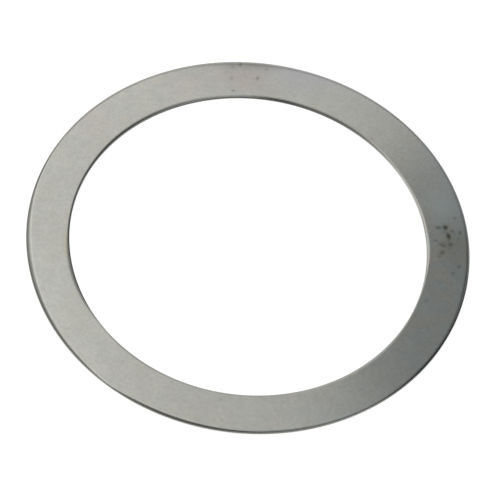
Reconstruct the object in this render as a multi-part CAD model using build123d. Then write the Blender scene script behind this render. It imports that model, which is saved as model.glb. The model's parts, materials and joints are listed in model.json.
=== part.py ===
from build123d import *

import os
from math import asin, degrees

# Shim ring: one flat ring of hard cold-rolled steel strip. It goes over a shaft, drops into a
# bored housing and takes up the end play beside a bearing or a gear. It is blanked in one piece.
#
# Frame: millimetres, +Z along the ring's axis. The origin is the middle of the hole on the
# lower face, so the ring lies on z = 0.
#
# Both edges are sheared and not machined. A compound die cuts the hole and the rim at one
# stroke, so both are rolled over at the same face, which is the upper one as the ring lies.
# From there down, each edge has a roll-over that draws the face down, a land that the tool
# rubbed bright, a torn band that leans back by the gap between punch and die, and a corner at
# the lower face that tumbling has broken where the burr was.

# What the ring fits
shaft_diameter = 40.0      # shaft that the hole goes over
housing_diameter = 50.0    # housing bore that the rim drops into
bore_clearance = 0.15      # hole over shaft, across the diameter
rim_clearance = 0.15       # housing over rim, across the diameter

# The strip
thickness = 0.50

# The sheared edges
rim_rollover_width = 0.45   # from the land back to where the face is flat
bore_rollover_width = 0.36  # the same at the hole, where the punch draws in less of the strip
rollover_depth = 0.12       # from the face down to the land
nose_radius = 0.04          # tight end of the roll-over, where it meets the land
land_height = 0.14          # straight band that the tool rubs bright
die_clearance = 0.03        # gap between punch and die, on the radius
break_radius = 0.02         # corner where the burr was

bore_radius = (shaft_diameter + bore_clearance) / 2
rim_radius = (housing_diameter - rim_clearance) / 2


def rollover(land_radius, outward, width):
    """The drawn-down corner: a wide arc off the flat face, then a tight one into the land.

    The wide arc's radius follows from the width and the depth that the two arcs make together.
    outward is 1 where the edge looks away from the axis, and -1 where it looks towards it.
    """
    run = width - nose_radius
    rise = rollover_depth - nose_radius
    wide_radius = (run**2 + rise**2) / (2 * rise) + nose_radius
    wide_turn = degrees(asin(run / (wide_radius - nose_radius)))
    face_end = (land_radius - outward * width, thickness)
    wide = JernArc(face_end, (outward, 0), wide_radius, -outward * wide_turn)
    tight = JernArc(wide @ 1, wide % 1, nose_radius, -outward * (90 - wide_turn))
    return [wide, tight]


def sheared_edge(land_radius, outward, width):
    """One edge from the upper face down: roll-over, land and torn band, with its corner sharp."""
    land_top = (land_radius, thickness - rollover_depth)
    land_foot = (land_radius, thickness - rollover_depth - land_height)
    torn_foot = (land_radius - outward * die_clearance, 0)
    return rollover(land_radius, outward, width) + [Polyline(land_top, land_foot, torn_foot)]


def ring_section():
    """The two edges, the faces between them, and the lower corners broken."""
    rim_edge = sheared_edge(rim_radius, 1, rim_rollover_width)
    hole_edge = sheared_edge(bore_radius, -1, bore_rollover_width)
    upper_face = Line(hole_edge[0] @ 0, rim_edge[0] @ 0)
    lower_face = Line(hole_edge[-1] @ 1, rim_edge[-1] @ 1)
    section = make_face(rim_edge + hole_edge + [upper_face, lower_face])
    burr_corners = section.vertices().group_by(Axis.Y)[0]
    return fillet(burr_corners, radius=break_radius)


def shim_ring():
    """The section stood upright beside the axis and carried once round it."""
    ring = revolve(Plane.XZ * ring_section(), axis=Axis.Z)
    ring.label = "shim_ring"
    return ring


os.makedirs("parts", exist_ok=True)
export_step(shim_ring(), "parts/shim_ring.step")
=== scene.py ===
import json

import bpy
import numpy as np
from mathutils import Matrix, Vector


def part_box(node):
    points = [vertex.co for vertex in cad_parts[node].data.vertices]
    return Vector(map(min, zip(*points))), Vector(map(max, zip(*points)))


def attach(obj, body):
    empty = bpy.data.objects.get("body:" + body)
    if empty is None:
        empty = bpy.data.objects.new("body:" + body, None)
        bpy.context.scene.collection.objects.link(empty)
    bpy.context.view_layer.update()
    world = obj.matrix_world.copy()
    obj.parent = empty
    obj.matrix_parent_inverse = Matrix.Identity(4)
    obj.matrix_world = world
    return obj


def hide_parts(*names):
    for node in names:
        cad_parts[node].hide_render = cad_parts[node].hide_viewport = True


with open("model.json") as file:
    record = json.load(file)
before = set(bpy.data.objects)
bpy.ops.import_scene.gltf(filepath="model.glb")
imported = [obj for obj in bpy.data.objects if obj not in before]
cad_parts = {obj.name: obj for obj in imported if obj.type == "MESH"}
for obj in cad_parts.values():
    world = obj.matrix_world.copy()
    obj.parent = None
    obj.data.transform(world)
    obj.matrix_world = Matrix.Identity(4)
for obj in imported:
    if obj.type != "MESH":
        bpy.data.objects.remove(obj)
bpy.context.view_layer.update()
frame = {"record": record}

# ---------------------------------------------------------------------------------------------
# The shim ring is one piece of hard cold-rolled steel strip. A compound die blanks its hole and
# its rim at one stroke, so both edges are rolled over at the upper face and torn below, and then
# it is tumbled to take the burr off. A little rust has started in two places.
MM = 0.001
low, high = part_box("shim_ring")
thickness = high.z - low.z
rim_radius = min(-low.x, high.x, -low.y, high.y)
bore = next(mount for mount in frame["record"]["mounts"] if mount["name"] == "bore")
bore_radius = bore["dims"]["r_mm"] * MM

rollover_depth = 0.12 * MM
nose_radius = 0.04 * MM
land_height = 0.14 * MM
die_clearance = 0.03 * MM
break_radius = 0.02 * MM
rust_pit_depth = 0.012 * MM
micrometre = 0.001 * MM

# Points of the mesh: round the ring, down each edge, and across each face
angle_count = 900
roll_steps, nose_steps, land_steps, torn_steps, corner_steps = 12, 6, 3, 5, 4
upper_face_steps, lower_face_steps = 35, 5

# Widths of the roll-over (mm), which vary as the gap in the worn die does. A place on an edge is
# the degrees round the ring where it is, how far it reaches either way, and by how much
rim_rollover = 0.36
rim_rollover_places = [(-168, 15, 0.38), (-122, 8, -0.28), (97, 14, 0.20), (0, 16, 0.15)]
hole_rollover = 0.31
hole_rollover_places = [
    (-160, 12, 0.30), (-14, 16, -0.20), (9, 7, 0.14), (38, 11, -0.18),
    (104, 10, -0.12), (-136, 8, -0.09), (144, 14, 0.08),
]
# Its depth rises and falls in waves: how many round the ring, their shift (radians), their share
depth_waves = [(3, 1.3, 0.05), (8, 2.6, 0.04)]

# Rust spots: degrees round the ring, radius, length, width (mm), heading in degrees, darkness
rust_spots = [
    (15.8, 21.70, 0.78, 0.56, 10, 0.46),
    (15.6, 22.50, 0.86, 0.78, 100, 0.74),
    (12.6, 22.70, 1.15, 0.62, 112, 0.73),
    (9.5, 21.90, 1.10, 0.54, 160, 0.41),
    (9.8, 22.80, 0.80, 0.68, 95, 0.46),
    (6.9, 21.85, 0.84, 0.62, 80, 0.44),
    (5.6, 21.55, 0.60, 0.44, 45, 0.18),
    (14.2, 23.20, 0.74, 0.62, 100, 0.29),
    (18.3, 23.75, 0.50, 0.44, 90, 0.26),
    (13.6, 24.05, 0.70, 0.46, 95, 0.36),
    (11.6, 23.75, 0.60, 0.46, 80, 0.18),
    (11.3, 21.10, 0.50, 0.40, 0, 0.30),
    (2.6, 23.75, 0.56, 0.50, 60, 0.34),
    (0.2, 23.20, 0.50, 0.50, 0, 0.30),
    (-11.3, 21.00, 0.54, 0.46, 30, 0.27),
    (99.3, 24.50, 0.52, 0.40, 90, 0.38),
    (101.4, 24.25, 0.80, 0.46, 95, 0.16),
    (102.0, 22.60, 0.70, 0.50, 90, 0.20),
    (94.5, 22.70, 0.60, 0.44, 70, 0.38),
    (92.2, 24.15, 0.60, 0.46, 80, 0.18),
    (101.9, 20.90, 0.50, 0.36, 0, 0.34),
    (103.0, 23.50, 0.50, 0.40, 0, 0.08),
    (53.9, 20.60, 0.40, 0.34, 0, 0.22),
    (-91.2, 21.10, 0.40, 0.30, 20, 0.24),
    (34.2, 21.10, 0.40, 0.30, 0, 0.18),
]
# A spot fades out at this many times its radius, and is full until one radius before that
spot_end = 1.22
# Each spot lies in a fainter brown halo, wider by this factor and with this share of its darkness
halo_growth, halo_share = 2, 0.6

# Patches of finer specks: degrees, radius and reach (mm), how many, darkest
rust_patches = [(10.5, 22.6, 1.9, 22, 0.22), (99.0, 22.8, 2.6, 16, 0.09)]
# Least and most of a speck's width (mm), its length in widths, and its share of the darkest
speck_width, speck_stretch, speck_share = (0.2, 0.45), (1, 1.6), (0.3, 1)
speck_seed = 7

# Soft stains on the upper face: share, degrees, radius, reach along the ring and outwards (mm).
# The tarnish beside the edges is partly painted shade, and the blue patch partly painted light
stains = {
    "stain_and_painted_shade": [(0.22, 97, 24.4, 3.2, 0.5), (0.22, -155, 20.36, 4.0, 0.16)],
    "mottled": [(1, 2, 22.6, 13, 4)],
    # A bluish patch lighter than the metal round it: partly a blue tint, partly painted light
    "blue_and_painted_light": [(1, 23, 22.9, 2.6, 2.0)],
    "brown": [(1, 9, 23.3, 2.7, 1.7), (0.35, 99, 23.0, 2.1, 1.9)],
    "pink": [(1, 97.5, 22.8, 2.5, 1.5), (0.7, 113, 22.5, 2.9, 1.2), (0.5, 147, 23.5, 1.9, 1.9)],
    "lilac": [(1, 84, 23.6, 4.3, 1.7), (0.6, 70, 24.4, 7.7, 0.8), (0.6, 32, 24.5, 6, 0.9)],
    "straw": [(1, -170.5, 20.55, 1.6, 0.22)],
}


def uneven_angles(count, patches, extra=3, reach=7, fine_steps=20000):
    """Angles round the ring, closer in the rusty patches: even steps of a density's running sum.

    The density is 1, and each patch adds extra times e to the minus fourth power of the distance
    from its middle over the reach, both in degrees. So a patch has four times as many points.
    """
    fine = np.linspace(0, 2 * np.pi, fine_steps + 1)
    density = np.ones_like(fine)
    for middle, *_ in patches:
        away = np.angle(np.exp(1j * (fine - np.radians(middle))))
        density += extra * np.exp(-((away / np.radians(reach)) ** 4))
    total = np.concatenate([[0], np.cumsum((density[1:] + density[:-1]) / 2)])
    return np.interp(np.arange(count) / count * total[-1], total, fine)


def round_the_ring(base, places):
    """A base value plus bell curves: amount times e to minus the square of distance over reach."""
    value = np.full(angle_count, float(base))
    for middle, reach, amount in places:
        away = np.degrees(np.angle(np.exp(1j * (angles - np.radians(middle)))))
        value += amount * np.exp(-((away / reach) ** 2))
    return value[:, None]


def sheared_edge(width, depth, land):
    """How far in and how far down an edge's points lie, from the upper face round to the lower.

    The roll-over is a wide arc that leaves the face flat, then a tight one, the nose, into the
    land. The wide arc sweeps twice the angle whose tangent is the depth over the width, both less
    the nose's radius. The torn band leans in by the die's clearance, and a quarter circle breaks
    the corner at the lower face.
    """
    sweep = 2 * np.arctan((depth - nose_radius) / (width - nose_radius))
    wide_radius = nose_radius + (width - nose_radius) / np.sin(sweep)
    roll = sweep * np.linspace(0, 1, roll_steps + 1)
    nose = sweep + (np.pi / 2 - sweep) * np.linspace(0, 1, nose_steps + 1)[1:]
    down_land = depth + land * np.linspace(0, 1, land_steps + 1)[1:]
    torn = np.linspace(0, 1, torn_steps + 1)[1:]
    corner = np.linspace(0, np.pi / 2, corner_steps + 1)[1:]
    even = np.ones_like(width)
    inset = [
        width - wide_radius * np.sin(roll),
        nose_radius * (1 - np.sin(nose)),
        0 * down_land,
        die_clearance * torn * even,
        (die_clearance + break_radius * (1 - np.cos(corner))) * even,
    ]
    drop = [
        wide_radius * (1 - np.cos(roll)),
        depth - nose_radius * np.cos(nose),
        down_land,
        depth + land + (thickness - break_radius - depth - land) * torn,
        (thickness - break_radius * (1 - np.sin(corner))) * even,
    ]
    return np.hstack(inset), np.hstack(drop)


# The section goes down the rim, in along the lower face, up the hole and back over the upper face
angles = uneven_angles(angle_count, rust_patches)
rim_width = round_the_ring(rim_rollover, rim_rollover_places) * MM
hole_width = round_the_ring(hole_rollover, hole_rollover_places) * MM
wavy = np.ones((angle_count, 1))
for waves, shift, share in depth_waves:
    wavy += share * np.sin(waves * angles + shift)[:, None]
rim_in, rim_down = sheared_edge(rim_width, rollover_depth * wavy, land_height / wavy)
hole_in, hole_down = sheared_edge(hole_width, rollover_depth * wavy, land_height / wavy)
rim_r = rim_radius - rim_in
hole_r = (bore_radius + hole_in)[:, ::-1]
under = np.linspace(0, 1, lower_face_steps + 1)[1:-1]
over = np.linspace(0, 1, upper_face_steps + 1)[1:-1]
under_r = rim_r[:, -1:] * (1 - under) + hole_r[:, :1] * under
over_r = hole_r[:, -1:] * (1 - over) + rim_r[:, :1] * over
radius = np.hstack([rim_r, under_r, hole_r, over_r])
down = np.hstack([rim_down, thickness + 0 * under_r, hole_down[:, ::-1], 0 * over_r])
height = thickness - down
x = radius * np.cos(angles)[:, None]
y = radius * np.sin(angles)[:, None]
upper_side = height > thickness / 2


def spots(places):
    """Darkness of oval spots: a smooth step, 3 e squared less 2 e cubed, times the darkness.

    Here e falls from 1 to 0 with the distance from the middle over the spot's own radius that
    way. Where spots overlap, the darkest counts.
    """
    darkness = np.zeros_like(x)
    for degrees, r, length, width, heading, dark in places:
        off_x = x / MM - r * np.cos(np.radians(degrees))
        off_y = y / MM - r * np.sin(np.radians(degrees))
        turn = np.radians(heading)
        along = (off_x * np.cos(turn) + off_y * np.sin(turn)) / (length / 2)
        across = (off_y * np.cos(turn) - off_x * np.sin(turn)) / (width / 2)
        ease = np.clip(spot_end - np.hypot(along, across), 0, 1)
        darkness = np.maximum(darkness, dark * ease * ease * (3 - 2 * ease))
    return darkness * upper_side


def haze(places):
    """Soft stains: the sum of bell curves in mm along the ring and outwards, times their shares."""
    total = np.zeros_like(x)
    for share, degrees, r, reach_along, reach_out in places:
        along = np.angle(np.exp(1j * (np.arctan2(y, x) - np.radians(degrees)))) * r
        out = np.hypot(x, y) / MM - r
        total += share * np.exp(-((along / reach_along) ** 2) - (out / reach_out) ** 2)
    return total * upper_side


draw = np.random.default_rng(speck_seed)
specks = []
for degrees, r, reach, count, darkest in rust_patches:
    for _ in range(count):
        out, along = draw.normal(0, reach / 2), draw.normal(0, reach / 2)
        width = draw.uniform(*speck_width)
        length = width * draw.uniform(*speck_stretch)
        heading = draw.uniform(0, 180)
        dark = draw.uniform(*speck_share) * darkest
        specks.append((degrees + np.degrees(along / r), r + out, length, width, heading, dark))
rust = spots(rust_spots + specks)
halos = [
    (degrees, r, halo_growth * length, halo_growth * width, heading, halo_share * dark)
    for degrees, r, length, width, heading, dark in rust_spots
]
on_the_face = height > thickness - micrometre
height = height - rust_pit_depth * rust * on_the_face

# The edges are darkened as well, partly by real tarnish and partly by painted shade: the dark
# that the sheared edges would mirror from round them is painted into their colour, and the hole's
# edge is kept lighter at the right, where that stands in for light. The darkening has a share for
# the end of the roll-over, the nose, the land and the torn band. A kind of mark has its places and
# the four shares that it adds there
rim_even_stain_and_shade = (0.40, 0, 0.45, 0.20)
rim_stain_and_painted_shade_marks = [
    ([(80, 60, 0.10), (97, 14, -0.80), (172, 14, 0.25), (-146, 12, 0.45)], (0.55, 0, 0, 0)),
    ([(-30, 13, 2.0), (14, 14, -1.7)], (0.30, 0.40, 0.30, 0.15)),
    ([(-100, 50, 1.0)], (0.80, 0.50, 0.45, -0.20)),
    ([(-22, 30, 1.0)], (1.10, -0.50, 0.45, 0.20)),
]
hole_even_stain_and_shade = (0.25, 0, 0.65, 0.80)
hole_stain_and_painted_shade_marks = [
    ([(138, 20, 0.55), (65, 18, 1.0), (87, 8, 1.0), (-160, 10, 0.10)], (0.60, 0.55, 0.05, 0)),
    ([(25, 22, 1.1)], (-0.20, 0, -0.75, -0.75)),
    ([(150, 90, 1.0)], (0.65, 0.05, 0.45, -0.10)),
]
darkest_edge = 0.97


def by_band(shares, power=1.5):
    """Four shares spread over an edge's points.

    The first grows over the roll-over as the given power of the way down it, and the others are
    even over the nose, the land, and the torn band with its corner.
    """
    roll_end, *others = shares
    grows = np.linspace(0, 1, roll_steps + 1) ** power
    steps = [nose_steps, land_steps, torn_steps + corner_steps]
    return np.concatenate([roll_end * grows, np.repeat(others, steps)])


def stain_and_painted_shade(plain, marks):
    """How dark an edge is: each band's plain share, plus what the marks add round the ring."""
    total = by_band(plain)
    for places, added in marks:
        total = total + round_the_ring(0, places) * by_band(added)
    return np.clip(total, 0, darkest_edge)


# Darkness of the edges, partly tarnish and partly painted shade
rim_stain_and_painted_shade = stain_and_painted_shade(rim_even_stain_and_shade, rim_stain_and_painted_shade_marks)
hole_stain_and_painted_shade = stain_and_painted_shade(hole_even_stain_and_shade, hole_stain_and_painted_shade_marks)[:, ::-1]
layers = {name: haze(places) for name, places in stains.items()}
layers["stain_and_painted_shade"] += np.hstack([rim_stain_and_painted_shade, 0 * under_r, hole_stain_and_painted_shade, 0 * over_r])
layers["brown"] += spots(halos)
layers["rust"] = rust

rows, columns = radius.shape
row, column = np.meshgrid(np.arange(rows), np.arange(columns), indexing="ij")
next_row, next_column = (row + 1) % rows, (column + 1) % columns
corners = [
    row * columns + column,
    row * columns + next_column,
    next_row * columns + next_column,
    next_row * columns + column,
]
faces = np.stack(corners, -1).reshape(-1, 4)
points = np.stack([x, y, height], -1).reshape(-1, 3)
mesh = bpy.data.meshes.new("shim_ring_steel")
mesh.from_pydata(points, [], faces.tolist())
mesh.polygons.foreach_set("use_smooth", np.ones(len(mesh.polygons), bool))
for name, values in layers.items():
    attribute = mesh.attributes.new(name, "FLOAT", "POINT")
    attribute.data.foreach_set("value", np.clip(values, 0, 1).astype(np.float32).ravel())
ring = bpy.data.objects.new("ring", mesh)
bpy.context.scene.collection.objects.link(ring)


def linear(hex_colour):
    """An sRGB hex colour as linear red, green and blue, and alpha 1, by the sRGB curve."""
    srgb = np.array([int(hex_colour[k:k + 2], 16) for k in (1, 3, 5)]) / 255
    rgb = np.where(srgb <= 0.04045, srgb / 12.92, ((srgb + 0.055) / 1.055) ** 2.4)
    return (*rgb, 1.0)


def add_node(tree, kind, inputs=None, **settings):
    """Adds a shader node, sets its properties, and fills or links its inputs."""
    made = tree.nodes.new("ShaderNode" + kind)
    for name, value in settings.items():
        setattr(made, name, value)
    for key, value in (inputs or {}).items():
        if isinstance(value, bpy.types.NodeSocket):
            tree.links.new(value, made.inputs[key])
        else:
            made.inputs[key].default_value = value
    return made


# Cold-rolled strip steel, tumbled: a dull satin grey with no lay, faintly clouded, on which the
# sheared edges show as a fine dark line, partly tarnish and partly painted shade, and rust as soft
# brown specks.
steel = bpy.data.materials.new("cold_rolled_strip_steel")
steel.use_nodes = True
tree = steel.node_tree
tree.nodes.clear()
place = add_node(tree, "TexCoord").outputs["Object"]
in_mm = add_node(tree, "VectorMath", {0: place, "Scale": 1 / MM}, operation="SCALE").outputs[0]

# Clouds 1.4 mm across and tumbling marks 0.4 mm across, drawn coarser than the real 0.05 mm, each
# with how far it lightens and darkens. A noise lies mostly between the two levels
noise_low, noise_high = 0.3, 0.7
brightness = 1.0
for size, spread in ((1.43, 0.035), (0.385, 0.050)):
    cloud = {"Vector": in_mm, "Scale": 1 / size, "Detail": 2.0, "Roughness": 0.6}
    noise = add_node(tree, "TexNoise", cloud).outputs[0]
    ends = {"Value": noise, 1: noise_low, 2: noise_high, 3: 1 - spread, 4: 1 + spread}
    level = add_node(tree, "MapRange", ends).outputs[0]
    product = add_node(tree, "Math", {0: brightness, 1: level}, operation="MULTIPLY")
    brightness = product.outputs[0]

# The grey drifts between cool and warm over 2.2 mm
drift = {"Vector": in_mm, "Scale": 1 / 2.22, "Detail": 3.0, "Roughness": 0.6}
tint = add_node(tree, "TexNoise", drift).outputs[0]
greys = {0: tint, 1: linear("#B1B5B1"), 2: linear("#B9B5AB")}
tinted = add_node(tree, "MixRGB", greys).outputs[0]

# Round the rust the metal has started to turn, in patches of blue and brown 1.7 mm across
mottled_most = 0.3
patch_low, patch_high = 0.38, 0.62
patch = {"Vector": in_mm, "Scale": 1 / 1.67, "Detail": 2.0}
patches = add_node(tree, "TexNoise", patch).outputs[0]
parted = {"Value": patches, 1: patch_low, 2: patch_high}
patches = add_node(tree, "MapRange", parted).outputs[0]
turning = {0: patches, 1: linear("#ACBBBB"), 2: linear("#C4B7AA")}
patchy = add_node(tree, "MixRGB", turning).outputs[0]
share = add_node(tree, "Attribute", attribute_name="mottled").outputs["Fac"]
share = add_node(tree, "Math", {0: share, 1: mottled_most}, operation="MULTIPLY").outputs[0]
tinted = add_node(tree, "MixRGB", {0: share, 1: tinted, 2: patchy}).outputs[0]
shaded = {0: tinted, "Scale": brightness}
colour = add_node(tree, "VectorMath", shaded, operation="SCALE").outputs[0]

# Stains over the clean metal: layer, how much of it shows, colour. The near-black tarnish is
# partly painted shade on the edges, and the blue partly painted light on the face
amounts = {}
for name, most, stained in (
    ("pink", 0.40, "#BDB0AC"),
    ("lilac", 0.40, "#BABCC2"),
    ("straw", 0.50, "#B8AE90"),
    ("blue_and_painted_light", 0.50, "#CAD3D2"),
    ("brown", 0.30, "#8C8878"),
    ("stain_and_painted_shade", 1.0, "#151417"),
    ("rust", 1.0, "#3B392B"),
):
    amounts[name] = add_node(tree, "Attribute", attribute_name=name).outputs["Fac"]
    share = add_node(tree, "Math", {0: amounts[name], 1: most}, operation="MULTIPLY").outputs[0]
    colour = add_node(tree, "MixRGB", {0: share, 1: colour, 2: linear(stained)}).outputs[0]

# Satin on the face, duller where the edge is torn, and matt where the rust is thick
satin, torn_rough, rust_rough = 0.17, 0.5, 0.8
torn_from, rust_from = 0.8, 0.75
dulling = {"Value": amounts["stain_and_painted_shade"], 1: torn_from, 2: 1.0, 3: satin, 4: torn_rough}
dull = add_node(tree, "MapRange", dulling).outputs[0]
rusting = {"Value": amounts["rust"], 1: rust_from, 2: 1.0}
rough = add_node(tree, "MapRange", {**rusting, 3: dull, 4: rust_rough}).outputs[0]
metal = add_node(tree, "MapRange", {**rusting, 3: 1.0, 4: 0.0}).outputs[0]

# The strip's rolled skin is uneven by a few micrometres over half a millimetre
rolled = {"Vector": in_mm, "Scale": 1 / 0.556, "Detail": 3.0, "Roughness": 0.6}
skin = add_node(tree, "TexNoise", rolled).outputs[0]
unevenness = {"Height": skin, "Strength": 1.0, "Distance": 3 * micrometre}
uneven = add_node(tree, "Bump", unevenness).outputs[0]
finish = {"Base Color": colour, "Metallic": metal, "Roughness": rough, "Normal": uneven}
surface = add_node(tree, "BsdfPrincipled", finish).outputs[0]
add_node(tree, "OutputMaterial", {"Surface": surface})
mesh.materials.append(steel)

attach(ring, "root")
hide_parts("shim_ring")

# ---------------------------------------------------------------------------------------------
# The ring lies on a sheet of matt white board in a pale room. The camera and the metal see both
# as white, and a fifth of the board is its own light and shade, so that the shadow stays.
half_table = 1.5
board_shade = 0.2
board_glow = 1.16
room_light = 0.7
table_mesh = bpy.data.meshes.new("table")
table_corners = [
    (-half_table, -half_table, 0),
    (half_table, -half_table, 0),
    (half_table, half_table, 0),
    (-half_table, half_table, 0),
]
table_mesh.from_pydata(table_corners, [], [(0, 1, 2, 3)])
table = bpy.data.objects.new("table", table_mesh)
bpy.context.scene.collection.objects.link(table)
board = bpy.data.materials.new("matt_white_board")
table_mesh.materials.append(board)
room = bpy.data.worlds.new("pale_room")
bpy.context.scene.world = room

# 1 for the rays that meet a background, from the camera or off the metal, and 0 for all others
seen = {}
for surrounding in (board, room):
    surrounding.use_nodes = True
    tree = surrounding.node_tree
    tree.nodes.clear()
    rays = add_node(tree, "LightPath").outputs
    direct = rays["Is Camera Ray"]
    for kind in ("Is Glossy Ray", "Is Transmission Ray"):
        either = {0: direct, 1: rays[kind]}
        direct = add_node(tree, "Math", either, operation="MAXIMUM").outputs[0]
    seen[surrounding] = direct

tree = board.node_tree
paper = add_node(tree, "BsdfDiffuse", {"Color": linear("#F7F7F7")}).outputs[0]
glow = add_node(tree, "Emission", {"Strength": board_glow}).outputs[0]
white = {0: seen[board], 1: 1 - board_shade}
share = add_node(tree, "Math", white, operation="MULTIPLY").outputs[0]
mixed = add_node(tree, "MixShader", {0: share, 1: paper, 2: glow}).outputs[0]
add_node(tree, "OutputMaterial", {"Surface": mixed})
tree = room.node_tree
strength = add_node(tree, "MapRange", {"Value": seen[room], 3: room_light, 4: 1.0}).outputs[0]
plain_walls = {"Color": linear("#FFFFFF"), "Strength": strength}
walls = add_node(tree, "Background", plain_walls).outputs[0]
add_node(tree, "OutputWorld", {"Surface": walls})

# ---------------------------------------------------------------------------------------------
# The light is one soft panel, a diffusing sheet 400 mm square that hangs 100 mm above the ring,
# whose flat face mirrors it. It is brightest at the left, and shaded at the right and the back.
panel_reach = 200 * MM
panel_lift = 100 * MM
panel_strength = 1.05
panel_mesh = bpy.data.meshes.new("light_panel")
panel_corners = [
    (-panel_reach, -panel_reach, panel_lift),
    (-panel_reach, panel_reach, panel_lift),
    (panel_reach, panel_reach, panel_lift),
    (panel_reach, -panel_reach, panel_lift),
]
panel_mesh.from_pydata(panel_corners, [], [(0, 1, 2, 3)])
panel = bpy.data.objects.new("light_panel", panel_mesh)
bpy.context.scene.collection.objects.link(panel)

lamp = bpy.data.materials.new("soft_panel_light")
lamp.use_nodes = True
tree = lamp.node_tree
tree.nodes.clear()
place = add_node(tree, "TexCoord").outputs["Object"]
in_mm = add_node(tree, "VectorMath", {0: place, "Scale": 1 / MM}, operation="SCALE").outputs[0]
axes = add_node(tree, "SeparateXYZ", {0: in_mm}).outputs

# Some shades run aslant. Each is measured across its own slant, from the point of the panel that
# the middle of the ring mirrors to the camera. A flag darkens one place and a bulb brightens one
mirrored_middle = (0, 67, 0)
flag_place, bulb_place = (52, 63, 100), (-40, 11, 100)
slants = []
for degrees in (-33, 11, 33):
    turn = {"Vector": in_mm, "Center": mirrored_middle, "Angle": np.radians(degrees)}
    turned = add_node(tree, "VectorRotate", turn, rotation_type="Z_AXIS").outputs[0]
    slants.append(add_node(tree, "SeparateXYZ", {0: turned}).outputs["X"])
left_slant, cool_slant, right_slant = slants
distances = []
for middle in (flag_place, bulb_place):
    how_far = add_node(tree, "VectorMath", {0: in_mm, 1: middle}, operation="DISTANCE")
    distances.append(how_far.outputs["Value"])
from_flag, from_bulb = distances

# Each shade: what it is measured along, where it starts and ends (mm), level before and after
level = panel_strength
for measure, start, end, before, after in (
    (axes["X"], -30, 4, 1.0, 0.82),
    (axes["X"], 25, 65, 1.0, 0.50),
    (left_slant, -102, -90, 1.2, 1.0),
    (left_slant, -47, -45, 0.43, 1.0),
    (left_slant, -34, -31, 1.50, 1.0),
    (axes["Y"], 81, 87, 1.0, 1.20),
    (axes["Y"], 92, 102, 1.0, 0.60),
    (from_flag, 31, 51, 0.40, 1.0),
    (from_bulb, 0, 21, 3.0, 1.0),
):
    ends = {"Value": measure, 1: start, 2: end, 3: before, 4: after}
    shade = add_node(tree, "MapRange", ends, interpolation_type="SMOOTHSTEP").outputs[0]
    level = add_node(tree, "Math", {0: level, 1: shade}, operation="MULTIPLY").outputs[0]

# Past these lines the panel is plain, so that the ring is evenly lit from its sides and its back
for measure, start, end in (
    (left_slant, -100, -115),
    (right_slant, 60, 80),
    (axes["Y"], -46, -60),
):
    plain = add_node(tree, "MapRange", {"Value": measure, 1: start, 2: end}).outputs[0]
    either = {0: plain, 2: level, 3: panel_strength}
    level = add_node(tree, "Mix", either, data_type="FLOAT").outputs[0]

# The light is a little cooler at the right, and turns so between these two lines (mm)
cool_start, cool_end = 13, 24
cooling = {"Value": cool_slant, 1: cool_start, 2: cool_end}
cool = add_node(tree, "MapRange", cooling).outputs[0]
hues = {0: cool, 1: linear("#FAFAFA"), 2: linear("#F3FAFF")}
hue = add_node(tree, "MixRGB", hues).outputs[0]
glow = add_node(tree, "Emission", {"Color": hue, "Strength": level}).outputs[0]
add_node(tree, "OutputMaterial", {"Surface": glow})
panel_mesh.materials.append(lamp)
panel.visible_camera = False

# ---------------------------------------------------------------------------------------------
# The camera looks down at the ring from the front with a long lens, rolled a little to the left.
# It aims a little beside the middle of the ring.
elevation, roll = np.radians(56.06), np.radians(8.57)
distance = 0.6904
aim_right, aim_up = 0.163 * MM, -0.766 * MM
camera_data = bpy.data.cameras.new("camera")
camera_data.lens = 444.0
camera_data.sensor_width = 36.0
camera = bpy.data.objects.new("camera", camera_data)
bpy.context.scene.collection.objects.link(camera)
back = np.array([0, -np.cos(elevation), np.sin(elevation)])
level_right = np.array([1.0, 0, 0])
level_up = np.array([0, np.sin(elevation), np.cos(elevation)])
right = np.cos(roll) * level_right + np.sin(roll) * level_up
up = np.cos(roll) * level_up - np.sin(roll) * level_right
eye = np.array([0, 0, thickness]) + aim_right * right + aim_up * up + distance * back
placed = np.stack([right, up, back, eye], 1)
camera.matrix_world = Matrix(np.vstack([placed, [0, 0, 0, 1]]).tolist())
bpy.context.scene.camera = camera
bpy.context.scene.view_settings.view_transform = "Standard"
